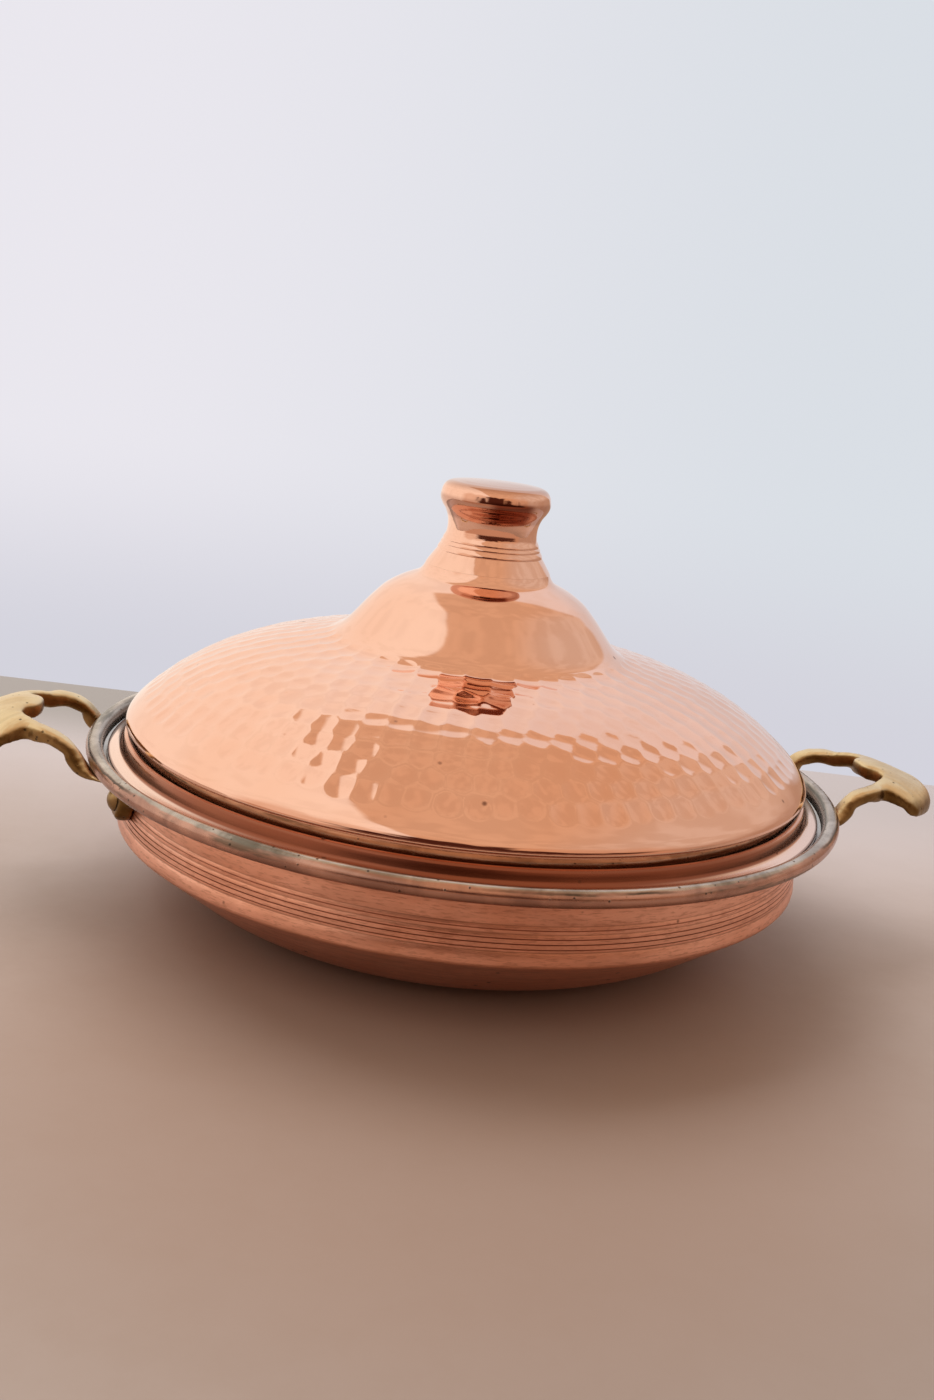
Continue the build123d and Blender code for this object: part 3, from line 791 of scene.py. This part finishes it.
wall = [
    (wall_out(height + step) - part * depth, height + step)
    for height, depth in GROOVES for step, part in CUT
]
outside = [(0, 0), (20, 0), (40, 0), (52.9, 0)] + arc(BELLY_MIDDLE, 52.0, -90, -53, 12)[1:]
outside += [
    (88.0, 13.2), (92.0, 16.2), (96.6, 19.65), (99.0, 21.45), (99.9, 22.15), (100.2, 22.55), (100.25, 23.1),
    (100.15, 24.3),
]
outside += wall
outside += [
    (98.45, 36.6), (98.3, 37.6), (98.35, 38.6), (98.8, 39.5), (99.7, 40.2), (100.8, 40.4), (103.0, 40.4),
    (104.6, 40.4), (105.6, 40.7), (106.1, 41.3),
]
under = [(106.3, 42.2)] + arc(RIM_ROLL, 1.35, 180, -105, 18)
over = arc(RIM_ROLL, 2.35, -105, 180, 40)
inside = [
    (105.3, 42.3), (105.15, 41.75), (104.6, 41.45), (103.0, 41.4), (100.8, 41.4), (99.2, 41.1), (97.8, 40.1),
    (97.3, 38.8), (97.3, 37.4), (98.0, 32.0), (98.8, 26.0), (99.0, 24.2), (98.7, 23.2), (97.8, 22.0), (95.9, 20.4),
    (91.4, 17.0), (87.4, 14.0),
]
inside += arc(BELLY_MIDDLE, 51.0, -53, -90, 10) + [(40, 1), (20, 1), (0, 1)]
print("pan section:", len(outside) + len(under) + len(over) + len(inside), "points")

# %% Spin the pan
LEDGE_HEIGHT = 41.0 * MM
ROLL_START = 105.0 * MM
RIM_SLOT, TIN_SLOT = 1, 2

section = bmesh.new()
as_chain(section, outside + under + over + inside)
spin_section(section, SPIN_STEPS)
for face in section.faces:
    middle = face.calc_center_median()
    above, beyond = middle.z > LEDGE_HEIGHT, math.hypot(middle.x, middle.y) > ROLL_START
    faces_in = face.normal.dot(Vector((middle.x, middle.y, -0.02))) < 0
    if above and beyond:
        face.material_index = RIM_SLOT
    elif above or faces_in:
        face.material_index = TIN_SLOT
finish_piece("spun_pan", section, "pan", [pan_copper, worn_rim, tin], "pan_body")

# %% [markdown]
# ## The handles
#
# Each handle is a casting: two legs that come up from the wall under the rim, a waist, a tongue between the legs
# and a broad grip. Its edges are soft, its faces slightly uneven. The solid already has nearly the form, so a copy
# of it is remeshed in small even cells and its underside is levelled through the waist. The legs bulge a little
# further out round the rim, and the waist stands higher than in the solid, on the left more than on the right.
# Smoothing takes the corners off, and noise roughens the faces, as sand does.

# %% Shape the handles
# Unless MM is there, lengths are in millimetres: out is along X, from the axis, and aside is along Y.
CELL = 0.55 * MM
WAIST = (112, 131)
LEGS_JOIN = (121, 127)
TONGUE_HALF = 10
LEG_UNDER = 43.9
LEG_LOWEST = 37.5
LEG_OUT = 119
BULGE = 2.0
UNEVEN = 0.10 * MM


def ease(value, low, high):
    """0 at low, 1 at high, with soft ends."""
    part = min(1.0, max(0.0, (value - low) / (high - low)))
    return part * part * (3 - 2 * part)


def even_cells(bm, name):
    """The same form again, in even cells and without folds."""
    rough = bpy.data.meshes.new(name)
    bm.to_mesh(rough)
    bm.free()
    source = bpy.data.objects.new(name, rough)
    scene.collection.objects.link(source)
    remesh = source.modifiers.new("even_cells", "REMESH")
    remesh.mode = "VOXEL"
    remesh.voxel_size = CELL
    even = bpy.data.meshes.new_from_object(source.evaluated_get(bpy.context.evaluated_depsgraph_get()))
    bpy.data.objects.remove(source)
    bpy.data.meshes.remove(rough)
    bm = bmesh.new()
    bm.from_mesh(even)
    bpy.data.meshes.remove(even)
    bm.normal_update()
    return bm


def level_underside(bm):
    """Gives waist and tongue one even thickness: no vertex stays below a line that drops towards the sides."""
    for vert in bm.verts:
        out, aside, height = abs(vert.co.x) / MM, abs(vert.co.y) / MM, vert.co.z / MM
        if WAIST[0] < out < WAIST[1]:
            part = aside / 22
            lowest = 46.6 - 1.92 * part - 2.88 * part ** 4
            if aside >= TONGUE_HALF:
                lowest = LEG_UNDER + (lowest - LEG_UNDER) * ease(out, *LEGS_JOIN)
            vert.co.z = max(height, lowest) * MM


def bulge_legs(bm):
    """Pushes the legs out round the rim; returns the vertices of that region."""
    bends = [vert for vert in bm.verts if vert.co.z / MM > LEG_LOWEST and abs(vert.co.x) < LEG_OUT * MM]
    for vert in bends:
        height = vert.co.z / MM
        away = Vector((vert.co.x, vert.co.y, 0)).normalized()
        part = ease(vert.normal.dot(away), -0.1, 0.7)
        vert.co += away * (BULGE * MM * part * ease(height, 36.5, 40.5) * ease(height, 48.0, 42.5))
    return bends


def smooth(bm, verts, rounds):
    """Moves vertices half way to the middle of their neighbours, a number of times."""
    for _ in range(rounds):
        bmesh.ops.smooth_vert(bm, verts=verts, factor=0.5, use_axis_x=True, use_axis_y=True, use_axis_z=True)


print("handle helpers ready")

# %% Cast the handles
def cast_copy(node, name, seed, lift):
    """A finer copy of a handle; lift says how much higher its waist stands, in millimetres."""
    bm = bmesh.new()
    bm.from_mesh(nodes[node].data)
    bmesh.ops.remove_doubles(bm, verts=bm.verts[:], dist=1e-6)
    bm = even_cells(bm, name + "_work")
    level_underside(bm)
    bm = even_cells(bm, name + "_second_work")
    near_waist = [vert for vert in bm.verts if 117 < abs(vert.co.x) / MM < 135]
    smooth(bm, bulge_legs(bm), 22)
    smooth(bm, near_waist, 18)
    for vert in bm.verts:
        out = abs(vert.co.x) / MM
        vert.co.z += lift * MM * ease(out, 110, 121) * ease(out, 146, 129)
    smooth(bm, bm.verts[:], 2)
    bm.normal_update()
    shift = Vector((seed, 0, 0))
    for vert in bm.verts:
        vert.co += vert.normal * (UNEVEN * noise.fractal(vert.co * 180 + shift, 0.9, 2.2, 3))
    return bm


for side, seed, lift in (("right", 3.0, 1.6), ("left", 8.0, 2.4)):
    handle = cast_copy(side + "_handle", side + "_cast", seed, lift)
    finish_piece(f"cast_{side}_handle", handle, "pan", [cast_brass], side + "_handle", sharp=60)

# %% [markdown]
# ## The small solids
#
# Rivets, rim wire, plug, washer and screw already have their real shape as solids, so they stay and only get a
# finish.

# %% Finish the small solids
for name, finish in (
    ("right_rivets", rivet_brass), ("left_rivets", rivet_brass), ("rim_wire", steel),
    ("knob_plug", plug_brass), ("knob_washer", steel), ("knob_screw", steel),
):
    slots = nodes[name].data.materials
    slots.clear()
    slots.append(finish)
    print("finished", name)

# %% [markdown]
# ## The stage
#
# The pan stands on a pale beige table top. Behind it hangs a pale bluish sheet. The table ends a hand's breadth
# behind the pan, where its colour turns to the sheet's, and just in front of the picture. Its shades are placed as
# the camera sees them, so its coordinates are turned with the camera: X across the picture, Y away from it.

# %% Table top
TABLE_LENGTH = 4.0
TABLE_END = 0.20
TABLE_FRONT = -0.33
WARM_SHADOW_MIDDLE = -0.11


def camera_axes(tree, vector):
    """Turns a vector with the camera; returns it and its parts."""
    turned = add(tree, "Mapping", {"Vector": vector, "Rotation": (0, 0, TURN)}, vector_type="POINT").outputs[0]
    return turned, add(tree, "SeparateXYZ", {"Vector": turned}).outputs


def make_table_top():
    material = bpy.data.materials.new("table_top")
    material.use_nodes = True
    tree = material.node_tree
    shader = tree.nodes["Principled BSDF"]
    place = add(tree, "TexCoord").outputs["Object"]
    clouds = speckle(tree, place, 3.0, detail=5.0)
    grain = speckle(tree, place, 60.0, detail=6.0, roughness=0.7)
    side, back, _ = camera_axes(tree, place)[1]
    far = times(tree, soften(tree, back, 0.09, 0.17), soften(tree, side, 0.10, -0.10, 0.25, 0.85))
    shade = times(tree, soften(tree, side, -0.17, 0.06), soften(tree, back, -0.02, -0.22))
    before = calc(tree, "SUBTRACT", back, WARM_SHADOW_MIDDLE)
    before = calc(tree, "ADD", times(tree, side, side), times(tree, before, before))
    colour = blend_colours(tree, soften(tree, clouds, 0.3, 0.7), (0.50, 0.425, 0.39), (0.43, 0.36, 0.325))
    colour = lay_over(tree, colour, [
        (soften(tree, grain, 0.35, 0.7, 0.0, 0.25), (0.38, 0.30, 0.25)),
        (soften(tree, back, -0.04, TABLE_END), (0.56, 0.54, 0.58)),  # towards the sheet
        # painted shade: the table darker at its far edge, most on the left
        (far, (0.27, 0.26, 0.245)),  # far edge, darkest on the left
        (times(tree, shade, 0.55), (0.27, 0.225, 0.20)),  # front right
        (soften(tree, before, 0.022, 0.004, 0.0, 0.5), (0.34, 0.22, 0.165)),  # painted shadow in front of the pan, warmed by painted light from the copper
    ])
    tree.links.new(colour, shader.inputs["Base Color"])
    shader.inputs["Roughness"].default_value = 0.6
    return material


table_top = make_table_top()
print("made", table_top.name)

# %% Floor
flat = bmesh.new()
bmesh.ops.create_grid(flat, x_segments=2, y_segments=2, size=0.5)
bmesh.ops.scale(flat, verts=flat.verts[:], vec=(TABLE_LENGTH, TABLE_END - TABLE_FRONT, 1))
bmesh.ops.translate(flat, verts=flat.verts[:], vec=(0, 0.5 * (TABLE_END + TABLE_FRONT), 0))
bmesh.ops.rotate(flat, verts=flat.verts[:], cent=(0, 0, 0), matrix=Matrix.Rotation(-TURN, 3, "Z"))
mesh = bpy.data.meshes.new("floor")
flat.to_mesh(mesh)
flat.free()
mesh.materials.append(table_top)
floor = bpy.data.objects.new("floor", mesh)
scene.collection.objects.link(floor)
print("floor placed")

# %% [markdown]
# ## The surroundings
#
# Polished metal shows what stands round it, so the surroundings are half of the finish. Left, above and behind it
# is bright. A warm wall leans over from the camera's side: it gives the front of the dome its deeper orange, with
# a border that the hammer marks break up. Low in front it is dark red-brown, which shows in the knob's neck and
# lip and along the lid's edge. The world holds all this, by direction, and shows a pale sheet to the camera.

# %% World
def bright_side(tree, x, y, z, patchy, small):
    """Warm white on the left, cooler and dimmer towards the back and the right."""
    colour = blend_colours(
        tree, soften(tree, calc(tree, "MULTIPLY_ADD", patchy, 0.5, x), -0.45, 0.25),
        (1.04, 0.96, 0.87), (0.86, 0.83, 0.86),
    )
    behind = times(tree, soften(tree, y, 0.45, 0.8), soften(tree, z, 0.6, 0.2), soften(tree, x, -0.15, 0.35))
    mottled = soften(tree, small, 0.48, 0.62, 0.0, 0.16)
    return lay_over(tree, colour, [(behind, (0.72, 0.71, 0.75)), (mottled, (0.76, 0.62, 0.52))])


def warm_side(tree, x, y, z, small):
    """A wall that leans over the camera, from the left of straight up to the right: its mask and its colour."""
    over = calc(tree, "SUBTRACT", 0.90, calc(tree, "MULTIPLY_ADD", z, 0.45, y))
    beside = calc(tree, "MULTIPLY_ADD", z, 0.43, x)
    colour = blend_colours(tree, soften(tree, x, 0.3, 0.8), (0.76, 0.535, 0.375), (0.74, 0.64, 0.57))
    return times(tree, soften(tree, over, -0.01, 0.03), soften(tree, beside, -0.02, 0.03)), lay_over(tree, colour, [
        (soften(tree, small, 0.40, 0.60, 0.0, 0.30), (0.52, 0.35, 0.24)),
        (soften(tree, z, 0.35, 0.05, 0.0, 0.7), (0.40, 0.24, 0.16)),
    ])


def low_front(tree, x, y, z, patchy):
    """Low on the camera's side stands something dark, highest in the middle; the floor before it is brown."""
    front = soften(tree, y, -0.20, -0.42)
    rise = calc(tree, "MULTIPLY_ADD", patchy, 0.5, z)
    aside = calc(tree, "MULTIPLY_ADD", patchy, -0.6, x)
    wide = times(tree, soften(tree, rise, 0.27, 0.17), between(tree, aside, -0.70, -0.48, 0.74, 0.94))
    middle = times(tree, soften(tree, rise, 0.50, 0.40), between(tree, aside, -0.40, -0.18, 0.22, 0.44))
    return [
        (times(tree, front, soften(tree, rise, 0.62, 0.36, 0.0, 0.45)), (0.62, 0.30, 0.13)),
        (times(tree, front, calc(tree, "MAXIMUM", wide, middle)), (0.070, 0.020, 0.012)),
        (times(tree, front, soften(tree, z, 0.03, -0.03)), (0.56, 0.34, 0.235)),
    ]


def make_world():
    world = bpy.data.worlds.new("surroundings")
    world.use_nodes = True
    tree = world.node_tree
    tree.nodes.clear()
    turned, (x, y, z) = camera_axes(tree, add(tree, "TexCoord").outputs["Generated"])
    patchy = calc(tree, "SUBTRACT", speckle(tree, turned, 3.5, detail=2.0), 0.5)
    small = speckle(tree, turned, 7.0, detail=1.0)
    mirrored = lay_over(tree, bright_side(tree, x, y, z, patchy, small), [warm_side(tree, x, y, z, small)])
    mirrored = lay_over(tree, mirrored, low_front(tree, x, y, z, patchy))
    sheet = blend_colours(tree, soften(tree, x, -0.30, 0.25), (0.82, 0.80, 0.855), (0.70, 0.735, 0.785))
    sheet = blend_colours(tree, soften(tree, z, -0.08, -0.24), sheet, (0.655, 0.65, 0.72))
    shown = blend_colours(tree, add(tree, "LightPath").outputs["Is Camera Ray"], mirrored, sheet)
    background = add(tree, "Background", {"Color": shown, "Strength": 1.0})
    output = add(tree, "OutputWorld")
    tree.links.new(background.outputs[0], output.inputs["Surface"])
    return world


scene.world = make_world()
print("world set")

# %% Lamp
LAMP_PLACE = Vector((-0.25, 0.55, 1.0))
LAMP_AIM = Vector((0, 0, 0.03))

softbox = bpy.data.lights.new("sky_softbox", "AREA")
softbox.shape = "RECTANGLE"
softbox.size, softbox.size_y = 1.2, 0.8
softbox.energy = 9.0
lamp = bpy.data.objects.new("sky_softbox", softbox)
scene.collection.objects.link(lamp)
lamp.location = LAMP_PLACE
lamp.rotation_euler = (LAMP_AIM - LAMP_PLACE).to_track_quat("-Z", "Y").to_euler()
lamp.visible_glossy = False
scene.view_settings.view_transform = "Standard"
print("lamp set")

# %% The end
print("scene built")
